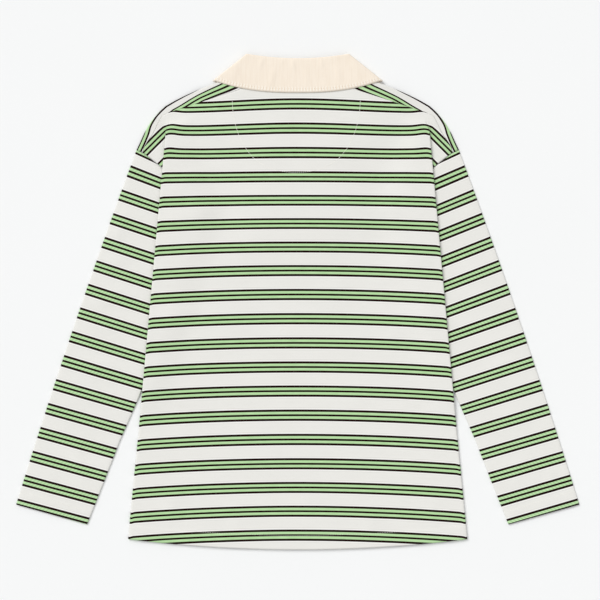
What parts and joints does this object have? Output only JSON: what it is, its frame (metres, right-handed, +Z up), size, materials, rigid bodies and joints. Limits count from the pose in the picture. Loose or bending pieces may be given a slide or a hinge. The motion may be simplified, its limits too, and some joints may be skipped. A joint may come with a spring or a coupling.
{
  "type": "long-sleeved polo shirt",
  "caption": "Long-sleeved striped jersey polo shirt with a woven collar, laid flat with its back up and its sleeves beside the body.",
  "frame": {"origin": "centre of the shirt's outline, on the surface that it lies on", "axes": "+Z up from the surface, out of the back; +Y from the hem to the neck; +X to the viewer's right, looking down on the back with the neck away"},
  "size_m": [0.7894, 0.6938, 0.009],
  "materials": {
    "striped_jersey": "matt cotton jersey, ecru with green bands between thin near-black lines",
    "collar_twill": "matt cream cotton twill",
    "button_pearl": "satin cream"
  },
  "bodies": {
    "root": {"back_panel": "striped_jersey", "front_panel": "striped_jersey", "yoke_left": "striped_jersey", "yoke_right": "striped_jersey", "sleeve_left": "striped_jersey", "sleeve_right": "striped_jersey", "neck_facing": "striped_jersey", "placket": "collar_twill", "collar": "collar_twill", "button_1": "button_pearl", "button_2": "button_pearl", "button_3": "button_pearl"}
  },
  "joints": []
}
